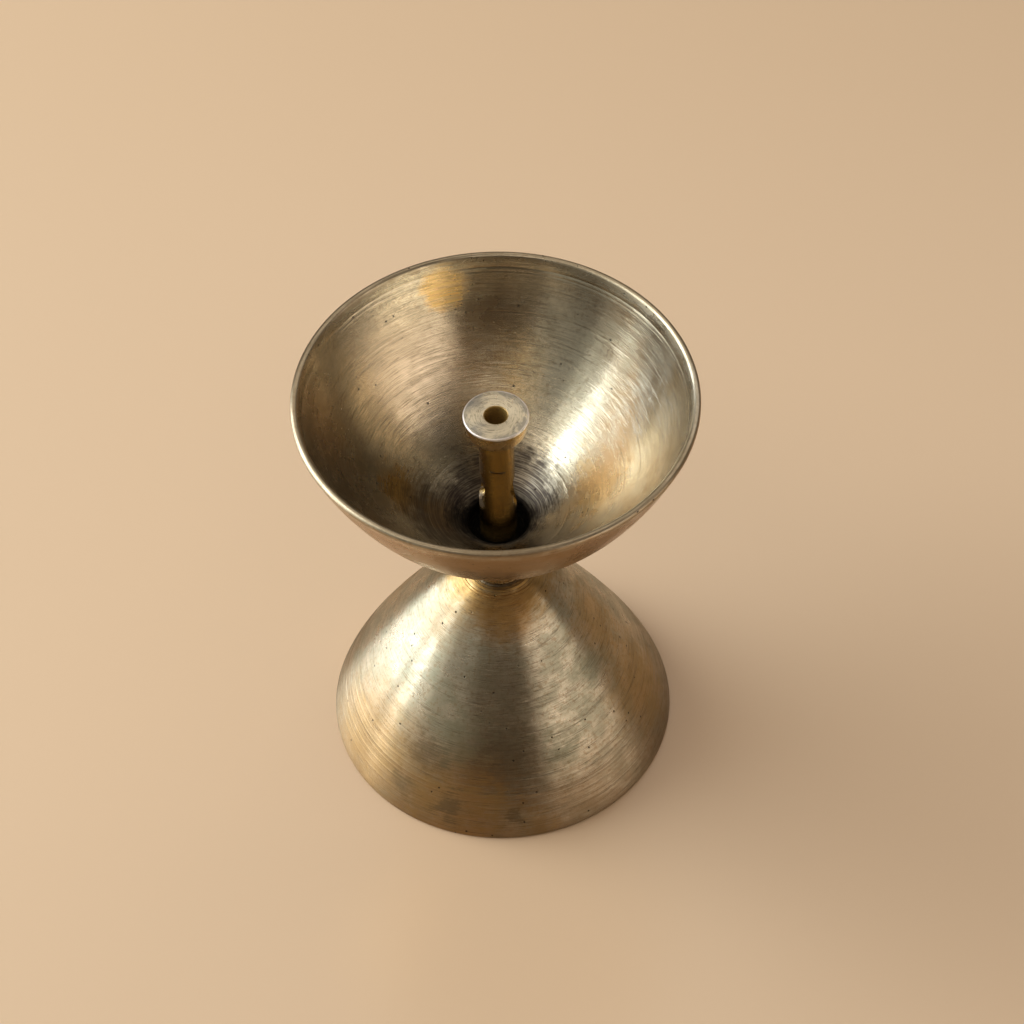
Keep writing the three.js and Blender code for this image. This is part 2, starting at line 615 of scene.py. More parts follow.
def mottling() -> Tree:
    """Soft clouds of tarnish and small specks in them.

    Returns:
        The node group, with outputs Clouds and Specks.
    """
    inputs = {"Scale": 260.0, "Speck Scale": 1820.0}
    tree, graph, given = new_group("mottling", inputs, ["Clouds", "Specks"])
    clouds = graph.noise(given["Vector"], given["Scale"], 4.0, 0.6)
    specks = graph.noise(given["Vector"], given["Speck Scale"], 3.0, 0.6)
    close_group(graph, Clouds=clouds, Specks=specks)
    return tree


def tint_spot() -> Tree:
    """A mask round a place, with an edge that runs out along the tool's cuts; for stains and painted
    light.

    Returns:
        The node group, with output Mask.
    """
    inputs = {"Centre": (0.0, 0.0, 0.0), "Reach": 0.01, "Wander": 0.01, "Core": 0.3}
    tree, graph, given = new_group("tint_spot", inputs, ["Mask"])
    off = graph.add("ShaderNodeVectorMath", {"operation": "DISTANCE"})
    graph.feed(off, 0, given["Vector"])
    graph.feed(off, 1, given["Centre"])
    streak_fineness, streak_wander, blot_scale = 3200.0, 6.0, 420.0
    place = graph.turned_place(given["Vector"])
    streaks = graph.noise(graph.ringed(place, streak_fineness, streak_wander), 1.0, 4.0, 0.7)
    ragged = graph.minus(graph.plus(streaks, graph.noise(given["Vector"], blot_scale, 4.0, 0.6)), 1.0)
    run = graph.plus(off.outputs["Value"], graph.times(ragged, given["Wander"]))
    inner = graph.times(given["Reach"], given["Core"])
    close_group(graph, Mask=graph.spread(run, inner, given["Reach"], 1.0, 0.0))
    return tree


def tint_ring() -> Tree:
    """A mask that goes all the way round, at a radius and a height, for stains and painted shade.

    Returns:
        The node group, with output Mask.
    """
    inputs = {"Radius": 0.0, "Width": 0.01, "Height": 0.0, "Tall": 0.01, "Soft": 0.001, "Wander": 0.002}
    tree, graph, given = new_group("tint_ring", inputs, ["Mask"])
    place = graph.turned_place(given["Vector"])
    beside = graph.math("ABSOLUTE", graph.minus(place[0], given["Radius"]))
    above = graph.math("ABSOLUTE", graph.minus(place[1], given["Height"]))
    beside = graph.minus(beside, graph.times(given["Width"], 0.5))
    above = graph.minus(above, graph.times(given["Tall"], 0.5))
    streak_fineness, streak_wander, blot_scale = 1500.0, 5.0, 500.0
    streaks = graph.noise(graph.ringed(place, streak_fineness, streak_wander), 1.0, 3.0, 0.6)
    ragged = graph.minus(graph.plus(streaks, graph.noise(given["Vector"], blot_scale, 4.0, 0.6)), 1.0)
    outward = graph.math("MAXIMUM", beside, above)
    run = graph.plus(outward, graph.times(ragged, given["Wander"]))
    inner = graph.times(given["Soft"], -1.0)
    close_group(graph, Mask=graph.spread(run, inner, given["Soft"], 1.0, 0.0))
    return tree


class Effect(Enum):
    """The shared effects."""

    MARKS = "marks"
    PITS = "pits"
    MOTTLING = "mottling"
    SPOT = "spot"
    RING = "ring"


Effects = dict[Effect, Tree]


def shared_effects() -> Effects:
    """Builds each shared effect once.

    Returns:
        The node groups.
    """
    return {
        Effect.MARKS: turning_marks(),
        Effect.PITS: casting_pits(),
        Effect.MOTTLING: mottling(),
        Effect.SPOT: tint_spot(),
        Effect.RING: tint_ring(),
    }


class Face(Enum):
    """Which faces of a piece a mark lies on, for stains and painted light alike."""

    INSIDE = "inside"
    OUTSIDE = "outside"
    BOTH = "both"


@dataclass(frozen=True)
class Stain:
    """What stains and painted light share: their colour, the faces they keep to, and what they do to the
    metal.
    """

    effect: ClassVar[Effect]
    colour: Colour
    strength: float
    _: KW_ONLY
    face: Face = Face.BOTH
    dulls: float = 0.05
    crust: float = 0.0
    worn: float = 0.0

    def inputs(self) -> dict[str, Any]:
        """The inputs of its effect, in metres."""
        raise NotImplementedError


@dataclass(frozen=True)
class Spot(Stain):
    """A round mark, in millimetres; stains, painted shade and painted highlights use it."""

    effect = Effect.SPOT
    centre: Triple
    reach: float
    wander: float = 8.0
    core: float = 0.2

    def inputs(self) -> dict[str, Any]:
        """The inputs of its effect, in metres."""
        centre = tuple(v * MM for v in self.centre)
        return {"Centre": centre, "Reach": self.reach * MM, "Wander": self.wander * MM, "Core": self.core}


@dataclass(frozen=True)
class Ring(Stain):
    """A mark that goes all the way round, in millimetres; stains and painted shade use it."""

    effect = Effect.RING
    radius: Point
    height: Point
    soft: float = 0.6
    wander: float = 1.5

    def inputs(self) -> dict[str, Any]:
        """The inputs of its effect, in metres."""
        return {
            "Radius": sum(self.radius) / 2 * MM,
            "Width": (self.radius[1] - self.radius[0]) * MM,
            "Height": sum(self.height) / 2 * MM,
            "Tall": (self.height[1] - self.height[0]) * MM,
            "Soft": self.soft * MM,
            "Wander": self.wander * MM,
        }


def on_face(face: Face, *tints: Stain) -> tuple[Stain, ...]:
    """The same marks, stains and painted light alike, each kept to one face.

    Args:
        face: the face.
        tints: the stains.

    Returns:
        The new marks, in the same order.
    """
    return tuple(replace(tint, face=face) for tint in tints)


@dataclass(frozen=True)
class Brass:
    """A satin turned brass finish with its tarnish, its stains and its painted light."""

    name: str
    pale: Colour
    grey: Colour
    brown: Colour
    ink: Colour = (0.1, 0.075, 0.045, 1.0)
    roughness: float = 0.28
    turned_sheen: float = 0.85
    relief: float = 0.35
    cloudy: float = 0.8
    specked: float = 0.35
    lined: float = 0.4
    pit_share: float = 0.7
    pit_size: float = 0.075
    rough_inside: float = 0.0
    tints: tuple[Stain, ...] = ()
    cloud_band: Point = (0.4, 0.62)
    speck_band: Point = (0.52, 0.66)
    polish_band: Point = (0.35, 0.65)
    cloud_dulls: float = 0.08
    pit_colour: Colour = (0.02, 0.014, 0.01, 1.0)
    pit_darkness: float = 0.9
    grain_height: float = 0.45
    ripple_height: float = 0.55
    line_depth: float = 0.35
    pit_depth: float = 1.4
    cast_lumps: float = 6.0
    cast_roughness: float = 0.3
    cast_browning: float = 0.7
    bump_reach: float = 0.08
    sheen_turn: float = 0.25

    def material(self, effects: Effects) -> bpy.types.Material:
        """Makes the material.

        Args:
            effects: the shared effects.

        Returns:
            The material.
        """
        material = bpy.data.materials.new(self.name)
        material.use_nodes = True
        material.node_tree.nodes.clear()
        graph = Graph(material.node_tree)
        where = graph.add("ShaderNodeTexCoord").outputs["Object"]
        inside = graph.add("ShaderNodeAttribute", {"attribute_name": INSIDE}).outputs["Fac"]
        marks = graph.effect(effects[Effect.MARKS], where)
        pits = graph.effect(effects[Effect.PITS], where, Size=self.pit_size, Share=self.pit_share)["Pits"]
        tarnish = graph.effect(effects[Effect.MOTTLING], where)
        clouds = graph.spread(tarnish["Clouds"], *self.cloud_band, 0.0, self.cloudy)
        specks = graph.spread(tarnish["Specks"], *self.speck_band, 0.0, self.specked)
        colour = graph.mix(clouds, self.pale, self.grey)
        colour = graph.mix(specks, colour, self.brown)
        polish = (self.roughness, self.roughness + self.cloud_dulls)
        rough = graph.spread(tarnish["Clouds"], *self.polish_band, *polish)
        colour, rough, metal = self.tinted(graph, effects, where, inside, marks["Ridges"], colour, rough)
        colour = graph.mix(graph.times(marks["Lines"], self.lined), colour, self.ink)
        colour = graph.mix(graph.times(pits, self.pit_darkness), colour, self.pit_colour)
        grain = graph.times(marks["Grain"], self.grain_height)
        height = graph.plus(grain, graph.times(marks["Ripple"], self.ripple_height))
        height = graph.minus(height, graph.times(marks["Lines"], self.line_depth))
        height = graph.minus(height, graph.times(pits, self.pit_depth))
        if self.rough_inside:
            cast = graph.times(inside, self.rough_inside)
            lumps = graph.times(tarnish["Specks"], self.cast_lumps)
            height = graph.plus(height, graph.times(lumps, cast))
            rough = graph.plus(rough, graph.times(cast, self.cast_roughness))
            colour = graph.mix(graph.times(cast, self.cast_browning), colour, self.brown)
        reach = self.bump_reach * MM
        bump = graph.add("ShaderNodeBump", Strength=self.relief, Distance=reach, Height=height)
        shader = graph.add("ShaderNodeBsdfPrincipled", Metallic=metal, Base_Color=colour, Roughness=rough)
        shader.inputs["Anisotropic"].default_value = self.turned_sheen
        shader.inputs["Anisotropic Rotation"].default_value = self.sheen_turn
        graph.feed(shader, "Normal", bump.outputs["Normal"])
        graph.feed(shader, "Tangent", self.cut_direction(graph, where))
        graph.add("ShaderNodeOutputMaterial", Surface=shader.outputs["BSDF"])
        return material

    def cut_direction(self, graph: Graph, where: Any) -> Any:
        """The direction round the axis, that the tool's cuts follow.

        Args:
            graph: the material's graph.
            where: the place on the piece.

        Returns:
            The direction.
        """
        place = graph.add("ShaderNodeSeparateXYZ", Vector=where)
        behind = graph.times(place.outputs["Y"], -1.0)
        around = graph.add("ShaderNodeCombineXYZ", X=behind, Y=place.outputs["X"], Z=0.0).outputs[0]
        return graph.vector("NORMALIZE", Vector=around)[0]

    def tinted(
        self, graph: Graph, effects: Effects, where: Any, inside: Any, ridges: Any, colour: Any, rough: Any
    ) -> tuple[Any, Any, Any]:
        """Lays the stains and the painted light over the metal, one after the other.

        Args:
            graph: the material's graph.
            effects: the shared effects.
            where: the place on the piece.
            inside: the mark of the faces inside a hollow.
            ridges: where the tool left ridges, which wear bare first.
            colour: the colour so far.
            rough: the roughness so far.

        Returns:
            The new colour and roughness, and how far bare metal shows.
        """
        outside = graph.minus(1.0, inside)
        metal: Any = 1.0
        for tint in self.tints:
            mask = graph.effect(effects[tint.effect], where, **tint.inputs())["Mask"]
            if tint.face is Face.INSIDE:
                mask = graph.times(mask, inside)
            elif tint.face is Face.OUTSIDE:
                mask = graph.times(mask, outside)
            if tint.worn:
                kept = graph.minus(1.0, graph.times(ridges, tint.worn))
                mask = graph.times(mask, kept)
            colour = graph.mix(graph.times(mask, tint.strength), colour, tint.colour)
            rough = graph.plus(rough, graph.times(mask, tint.dulls))
            if tint.crust:
                bare = graph.minus(1.0, graph.times(mask, tint.crust))
                metal = graph.times(metal, bare)
        return colour, rough, metal


@dataclass
class TurnedPiece:
    """What the three turned pieces share."""

    node: str
    slot_name: str
    finish: Brass
    facets: int = 256
    opens: float = 0.0
    threads: tuple[Thread, ...] = ()
    pieces: list[Thing] = field(default_factory=list)

    def profile(self) -> list[Point]:
        """The profile of radius and height in millimetres."""
        raise NotImplementedError

    def build(self) -> None:
        """Turns the piece, winds its threads and keeps them."""
        self.pieces.append(turned_piece(self.node + "_turned", self.profile(), self.facets))
        self.pieces.extend(thread.build() for thread in self.threads)

    def dress(self, effects: Effects) -> None:
        """Gives the pieces their finish and their body.

        Args:
            effects: the shared effects.
        """
        material = self.finish.material(effects)
        for piece in self.pieces:
            mark_inside(piece.data, self.opens)
            piece.data.materials.clear()
            piece.data.materials.append(material)
            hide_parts(self.node)
            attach(piece, self.node)
            log.info("piece %s rides on %s", piece.name, self.node)


@dataclass
class FootBowl(TurnedPiece):
    """The upside-down bowl that the lamp stands on."""

    top: float = 35.4
    foot_radius: float = 27.7
    foot_land: float = 1.1
    foot_edge: float = 0.35
    wall: float = 1.5
    land_radius: float = 5.4
    land_edge: float = 0.25
    shoulder_deg: float = 36.0
    shoulder_handle: float = 10.4
    foot_handle: float = 3.2
    boss_depth: float = 8.0
    ceiling_round: float = 2.4
    ceiling_pull: float = 0.8
    ceiling_spread: float = 2.0
    hole_radius: float = 3.2
    steps: int = 70
    ceiling_steps: int = 14
    edge_steps: int = 5
    opens: float = -1.0
    threads: tuple[Thread, ...] = (Thread("hole_thread", 3.35, 2.96, 1.0, 27.9, 34.9),)
    land_scores: tuple[Score, ...] = (
        Score(1.28, 0.16, 0.12),
        Score(1.52, 0.13, 0.09),
        Score(1.8, 0.16, 0.12),
    )
    wall_scores: tuple[Score, ...] = (
        Score(0.5, 0.16, 0.08),
        Score(0.95, 0.12, 0.04),
        Score(30.1, 0.14, 0.014),
        Score(31.2, 0.16, 0.02),
        Score(32.5, 0.18, 0.028),
        Score(33.2, 0.14, 0.018),
        Score(33.9, 0.2, 0.03),
        Score(34.6, 0.16, 0.024),
        Score(36.0, 0.18, 0.028),
        Score(37.0, 0.14, 0.016),
        Score(38.1, 0.16, 0.02),
    )

    def outline(self) -> list[Point]:
        """Outer curve from the land down to the foot.

        Returns:
            Its control points.
        """
        slope = math.radians(self.shoulder_deg)
        x, z = self.land_radius, self.top - self.land_edge
        return [
            (x, z),
            (x + self.shoulder_handle * math.cos(slope), z - self.shoulder_handle * math.sin(slope)),
            (self.foot_radius, self.foot_edge + self.foot_handle),
            (self.foot_radius, self.foot_edge),
        ]

    def inside(self, outer: list[Point]) -> list[Point]:
        """Inner curve: the outer one moved in by the wall, from the foot to the ceiling.

        Args:
            outer: points of the outer curve from the top down.

        Returns:
            The points from the foot up.
        """
        ceiling = self.top - self.boss_depth
        rising = list(reversed(outer))
        points = []
        for before, after in zip(rising, rising[1:]):
            dx, dy = after[0] - before[0], after[1] - before[1]
            run = math.hypot(dx, dy)
            at = (before[0] - dy / run * self.wall, before[1] + dx / run * self.wall)
            if self.foot_edge < at[1] < ceiling - self.ceiling_round:
                points.append(at)
        last = points[-1]
        rise = ceiling - last[1]
        over = [(last[0] - rise * share, ceiling) for share in (self.ceiling_pull, self.ceiling_spread)]
        return points + bezier_points([last, *over], self.ceiling_steps)[1:]

    def profile(self) -> list[Point]:
        """The closed profile, from the hole outwards and back.

        Returns:
            Its points.
        """
        outer = bezier_points(self.outline(), self.steps)
        ceiling = self.top - self.boss_depth
        land = [(self.hole_radius, self.top), (self.land_radius - self.land_edge, self.top)]
        edge_centre = (self.foot_radius - self.foot_edge, self.foot_edge)
        edge = round_points(edge_centre, self.foot_edge, 0, -90, self.edge_steps)
        return [
            *scored(land, self.land_scores),
            *scored(outer, self.wall_scores),
            *edge[1:],
            (self.foot_radius - self.foot_land, 0.0),
            (self.foot_radius - self.foot_land - self.foot_edge, self.foot_edge),
            *self.inside(outer),
            (self.hole_radius, ceiling),
        ]


@dataclass
class OilBowl(TurnedPiece):
    """The bowl that holds the oil, with its neck and screw."""

    height: float = 74.8
    rim_radius: float = 30.0
    lip_radius: float = 0.58
    lip_tilt: float = 20.0
    outer_belly: float = 3.1
    inner_belly: float = 3.2
    floor_height: float = 46.6
    neck_bottom: float = 35.7
    neck_radius: float = 4.3
    neck_edge: float = 0.2
    root_radius: float = 6.4
    root_height: float = 44.4
    root_fillet: float = 3.0
    root_tightness: float = 0.25
    well_radius: float = 4.7
    well_lip: float = 0.35
    well_depth: float = 2.4
    screw_core: float = 2.5
    screw_length: float = 7.3
    screw_chamfer: float = 0.3
    socket_radius: float = 2.2
    socket_end: float = 38.8
    steps: int = 70
    lip_steps: int = 16
    fillet_steps: int = 10
    edge_steps: int = 6
    opens: float = 1.0
    threads: tuple[Thread, ...] = (
        Thread("screw_thread", 2.4, 2.88, 1.0, 28.5, 35.2),
        Thread("socket_thread", 2.35, 1.96, 0.7, 39.0, 44.0),
    )
    wall_scores: tuple[Score, ...] = (
        Score(1.6, 0.1, 0.012),
        Score(2.3, 0.09, 0.008),
        Score(8.8, 0.09, 0.006),
        Score(30.4, 0.09, 0.008),
    )
    neck_scores: tuple[Score, ...] = (
        Score(0.3, 0.2, 0.1),
        Score(0.85, 0.18, 0.09),
        Score(1.45, 0.16, 0.07),
    )

    def profile(self) -> list[Point]:
        """The profile, from the end of the screw round to the bottom of the socket.

        Returns:
            Its points.
        """
        lip_centre = (self.rim_radius - self.lip_radius, self.height - self.lip_radius)
        turn = (-self.lip_tilt, 180 - self.lip_tilt)
        lip = round_points(lip_centre, self.lip_radius, *turn, self.lip_steps)
        root = (self.root_radius, self.root_height)
        drops = (self.root_fillet, self.root_fillet * self.root_tightness)
        fillet_corners = [(self.neck_radius, self.root_height - drop) for drop in drops]
        fillet = bezier_points([*fillet_corners, root], self.fillet_steps)
        well_floor = self.floor_height - self.well_depth
        well_top = (self.well_radius + self.well_lip, self.floor_height)
        inner = list(reversed(arc_points(well_top, lip[-1], self.inner_belly, self.steps)))
        well_corner = (well_top[0], well_top[1] - self.well_lip)
        neck_corner = (self.neck_radius, self.neck_bottom + self.neck_edge)
        end = self.neck_bottom - self.screw_length
        return [
            (0.0, end),
            (self.screw_core - self.screw_chamfer, end),
            (self.screw_core, end + self.screw_chamfer),
            (self.screw_core, self.neck_bottom),
            (self.neck_radius - self.neck_edge, self.neck_bottom),
            *scored([neck_corner, fillet[0]], self.neck_scores),
            *fillet[1:],
            *arc_points(root, lip[0], self.outer_belly, self.steps)[1:],
            *lip[1:],
            *scored(inner, self.wall_scores)[1:],
            *round_points(well_corner, self.well_lip, 90, 180, self.edge_steps)[1:],
            (self.well_radius, well_floor),
            (self.socket_radius, well_floor),
            (self.socket_radius, self.socket_end),
            (0.0, self.socket_end),
        ]


@dataclass
class WickTube(TurnedPiece):
    """The tube that holds the wick, with its head, ports and peg."""

    head_top: float = 70.5
    head_depth: float = 3.6
    head_radius: float = 4.92
    head_taper: float = 0.35
    head_edge: float = 0.2
    head_undercut: float = 1.1
    stem_top_radius: float = 2.65
    stem_foot_radius: float = 2.85
    foot_height: float = 44.5
    bore_radius: float = 1.7
    bore_chamfer: float = 0.2
    bore_end: float = 52.0
    drill_tip_deg: float = 31.0
    peg_core: float = 1.65
    peg_length: float = 5.1
    peg_chamfer: float = 0.2
    port_height: float = 55.4
    port_radius: float = 2.1
    way_radius: float = 1.6
    right_way_deg: float = 45.0
    left_way_deg: float = 28.0
    mark_radius: float = 0.2
    mark_depth: float = 0.15
    mark_side: float = 0.15
    mark_height: float = 60.4
    mark_slope: float = 8.0
    burr_centre: Triple = (-2.25, -1.72, 55.95)
    burr_radius: float = 0.36
    burr_thickness: float = 0.08
    burr_sweep_deg: float = 190.0
    burr_steps: int = 18
    burr_sides: int = 10
    facets: int = 144
    undercut_steps: int = 12
    rim_steps: int = 5
    mouth_steps: int = 4
    threads: tuple[Thread, ...] = (Thread("peg_thread", 1.55, 1.88, 0.7, 39.6, 44.3),)

    def profile(self) -> list[Point]:
        """The profile, from the end of the peg round to the bottom of the bore.

        Returns:
            Its points.
        """
        head_bottom = self.head_top - self.head_depth
        head_low = self.head_radius - self.head_taper
        under = [
            (self.stem_top_radius, head_bottom),
            (head_low, head_bottom),
            (head_low, head_bottom + self.head_undercut),
        ]
        rim_centre = (self.head_radius - self.head_edge, self.head_top - self.head_edge)
        mouth_centre = (self.bore_radius + self.bore_chamfer, self.head_top - self.bore_chamfer)
        peg_end = self.foot_height - self.peg_length
        return [
            (0.0, peg_end),
            (self.peg_core - self.peg_chamfer, peg_end),
            (self.peg_core, peg_end + self.peg_chamfer),
            (self.peg_core, self.foot_height),
            (self.stem_foot_radius, self.foot_height),
            (self.stem_foot_radius, self.port_height),
            (self.stem_top_radius, self.port_height + self.port_radius),
            *bezier_points(under, self.undercut_steps),
            *round_points(rim_centre, self.head_edge, 0, 90, self.rim_steps),
            *round_points(mouth_centre, self.bore_chamfer, 90, 180, self.mouth_steps),
            (self.bore_radius, self.bore_end),
            (0.0, self.bore_end - self.bore_radius * math.tan(math.radians(self.drill_tip_deg))),
        ]

    def build(self) -> None:
        """Turns the tube, then drills the port and the oil way to each side."""
        super().build()
        tube = self.pieces[0]
        half = self.stem_foot_radius
        middle = Vector((0, 0, self.port_height))
        cut_with_bar(tube, self.port_radius, half * 4, 0, middle)
        for side, angle in ((1, self.right_way_deg), (-1, self.left_way_deg)):
            slope = math.radians(angle)
            out_and_down = Vector((side * math.cos(slope), 0, -math.sin(slope)))
            cut_with_bar(tube, self.way_radius, half * 2, side * angle, middle + out_and_down * half)
        front = Vector((self.mark_side, -self.stem_top_radius + self.mark_depth, self.mark_height))
        cut_with_bar(tube, self.mark_radius, half, self.mark_slope, front)
        shade(tube.data)
        self.pieces.append(self.burr())

    def burr(self) -> Thing:
        """The curl of metal that the drill left at the port.

        Returns:
            The new object.
        """
        shell = bmesh.new()
        thickness = self.burr_thickness * MM
        ring = bmesh.ops.create_circle(shell, cap_ends=False, segments=self.burr_sides, radius=thickness)
        centre = Vector(self.burr_centre) * MM
        lift = Matrix.Translation(centre + Vector((self.burr_radius * MM, 0, 0)))
        bmesh.ops.transform(shell, matrix=lift, verts=ring["verts"])
        bmesh.ops.spin(
            shell,
            geom=shell.verts[:] + shell.edges[:],
            cent=centre,
            axis=(0, -1, 0),
            angle=math.radians(self.burr_sweep_deg),
            steps=self.burr_steps,
            use_merge=False,
        )
        close_ends(shell, self.burr_sides)
        return new_piece("port_burr", shell)


DAYLIGHT = (0.82, 0.93, 1.0)
SHADED_DAYLIGHT = (0.92, 1.0, 0.97)
WALL_LIGHT = (1.0, 0.91, 0.81)
CEILING_LIGHT = (1.0, 0.95, 0.86)


@dataclass(frozen=True)
class Softbox:
    """A soft lamp, placed by how it is seen from the lamp on the table."""

    side: str
    bearing_deg: float
    height_deg: float
    width_deg: float
    tall_deg: float
    brightness: float
    colour: Triple
    distance: float = 1.0

    def hang(self, aim: Vector) -> None:
        """Hangs the lamp so that it looks at a point.

        Args:
            aim: the point that it looks at, in metres.
        """
        bearing, height = math.radians(self.bearing_deg), math.radians(self.height_deg)
        level, up = math.cos(height), math.sin(height)
        toward = Vector((math.sin(bearing) * level, -math.cos(bearing) * level, up))
        data = bpy.data.lights.new("softbox_" + self.side, "AREA")
        data.shape = "RECTANGLE"
        data.size = 2 * self.distance * math.tan(math.radians(self.width_deg / 2))
        data.size_y = 2 * self.distance * math.tan(math.radians(self.tall_deg / 2))
        data.energy = self.brightness * math.pi * data.size * data.size_y
        data.color = self.colour
        lamp = add_object(data.name, data)
        lamp.location = aim + toward * self.distance
        lamp.rotation_euler = (-toward).to_track_quat("-Z", "Y").to_euler()


@dataclass
class Studio:
    """The floor, the soft lamps and the camera."""

    lens_pixels: float = 2800.0
    sensor: float = 36.0
    pitch_deg: float = 50.05
    yaw_deg: float = 0.44
    roll_deg: float = 1.06
    eye: Triple = (0.0, -275.2, 376.8)
    nearest: float = 10.0
    floor_colour: Colour = (0.63, 0.43, 0.27, 1.0)
    floor_roughness: float = 0.24
    floor_side: float = 3.0
    room_colour: Colour = (1.0, 0.86, 0.68, 1.0)
    room_strength: float = 0.045
    aim_height: float = 0.04
    softboxes: tuple[Softbox, ...] = (
        Softbox("key_far", -112.5, 24.0, 35.0, 50.0, 7.0, DAYLIGHT),
        Softbox("key_near", -84.5, 24.0, 11.0, 50.0, 7.0, DAYLIGHT),
        Softbox("key_edge", -70.5, 24.0, 15.0, 50.0, 1.1, SHADED_DAYLIGHT),
        Softbox("left_wall", -45.0, 20.0, 34.0, 44.0, 0.27, SHADED_DAYLIGHT),
        Softbox("right_high", 57.5, 23.7, 57.0, 16.5, 1.5, WALL_LIGHT),
        Softbox("right_low", 57.5, 5.7, 57.0, 15.5, 1.5, WALL_LIGHT),
        Softbox("far_right", 112.0, 15.0, 44.0, 34.0, 0.12, WALL_LIGHT),
        Softbox("back", 180.0, 62.0, 90.0, 50.0, 0.9, CEILING_LIGHT),
        Softbox("high_left", -30.0, 60.0, 64.0, 20.0, 1.8, CEILING_LIGHT),
    )

    def place_camera(self) -> None:
        """Sets up the camera at the photograph's angle."""
        data = bpy.data.cameras.new("camera")
        data.sensor_width = self.sensor
        data.lens = self.lens_pixels / IMAGE_SIDE * self.sensor
        data.clip_start = self.nearest * MM
        camera = add_object("camera", data)
        pitch, yaw, roll = (math.radians(v) for v in (self.pitch_deg, self.yaw_deg, self.roll_deg))
        level = math.cos(pitch)
        ahead = Vector((math.sin(yaw) * level, math.cos(yaw) * level, -math.sin(pitch)))
        right = Vector((math.cos(yaw), -math.sin(yaw), 0.0))
        down = ahead.cross(right)
        right_rolled = right * math.cos(roll) + down * math.sin(roll)
        down_rolled = down * math.cos(roll) - right * math.sin(roll)
        turn = Matrix((right_rolled, -down_rolled, -ahead)).transposed().to_4x4()
        camera.matrix_world = Matrix.Translation(Vector(self.eye) * MM) @ turn
        bpy.context.scene.camera = camera

    def lay_floor(self) -> None:
        """Lays a plain pale floor."""
        sheet = bmesh.new()
        bmesh.ops.create_grid(sheet, x_segments=1, y_segments=1, size=self.floor_side)
        floor = add_shell("floor", sheet)
        material = bpy.data.materials.new("floor_paint")
        material.use_nodes = True
        shader = material.node_tree.nodes["Principled BSDF"]
        shader.inputs["Base Color"].default_value = self.floor_colour
        shader.inputs["Roughness"].default_value = self.floor_roughness
        floor.data.materials.append(material)

    def light(self) -> None:
        """Sets a dim even room and hangs the soft lamps."""
        world = bpy.data.worlds.new("room")
        world.use_nodes = True
        glow = world.node_tree.nodes["Background"].inputs
        glow["Color"].default_value = self.room_colour
        glow["Strength"].default_value = self.room_strength
        bpy.context.scene.world = world
        for softbox in self.softboxes:
            softbox.hang(Vector((0.0, 0.0, self.aim_height)))
        bpy.context.scene.view_settings.view_transform = "Standard"


PALE = (0.54, 0.465, 0.34, 1.0)
GREY = (0.4, 0.365, 0.26, 1.0)
BROWN = (0.3, 0.195, 0.1, 1.0)
ORANGE = (0.5, 0.27, 0.05, 1.0)
RUST = (0.35, 0.185, 0.055, 1.0)
UMBER = (0.22, 0.14, 0.07, 1.0)
DEEP_UMBER = (0.13, 0.095, 0.055, 1.0)
TAN = (0.66, 0.52, 0.37, 1.0)
WARM_PALE = (0.63, 0.53, 0.38, 1.0)
WARM_GREY = (0.49, 0.415, 0.29, 1.0)
# Colour of a painted highlight.
PAINTED_HIGHLIGHT = (0.85, 0.78, 0.65, 1.0)
TOFFEE = (0.34, 0.205, 0.075, 1.0)
HONEY = (0.38, 0.225, 0.07, 1.0)
VERDIGRIS = (0.25, 0.255, 0.165, 1.0)
INK = (0.035, 0.022, 0.014, 1.0)
# Dark brown, for a stain on the foot and for a painted dark reflection on the oil bowl.
DARK_SIENNA = (0.13, 0.062, 0.013, 1.0)
# Colour of a painted reflection.
PAINTED_REFLECTION_ORANGE = (0.95, 0.6, 0.2, 1.0)
CHAR = (0.06, 0.04, 0.025, 1.0)
SOOT = (0.038, 0.027, 0.024, 1.0)
BLACK = (0.008, 0.007, 0.007, 1.0)
GOLD = (0.45, 0.28, 0.08, 1.0)
DEEP_GOLD = (0.32, 0.185, 0.05, 1.0)
CREAM = (0.68, 0.59, 0.44, 1.0)
SLATE = (0.17, 0.165, 0.165, 1.0)
ROSE = (0.85, 0.74, 0.68, 1.0)
# Colour of painted shade.
PAINTED_SHADE_GREY = (0.2, 0.165, 0.15, 1.0)
PALE_ASH = (0.24, 0.195, 0.16, 1.0)

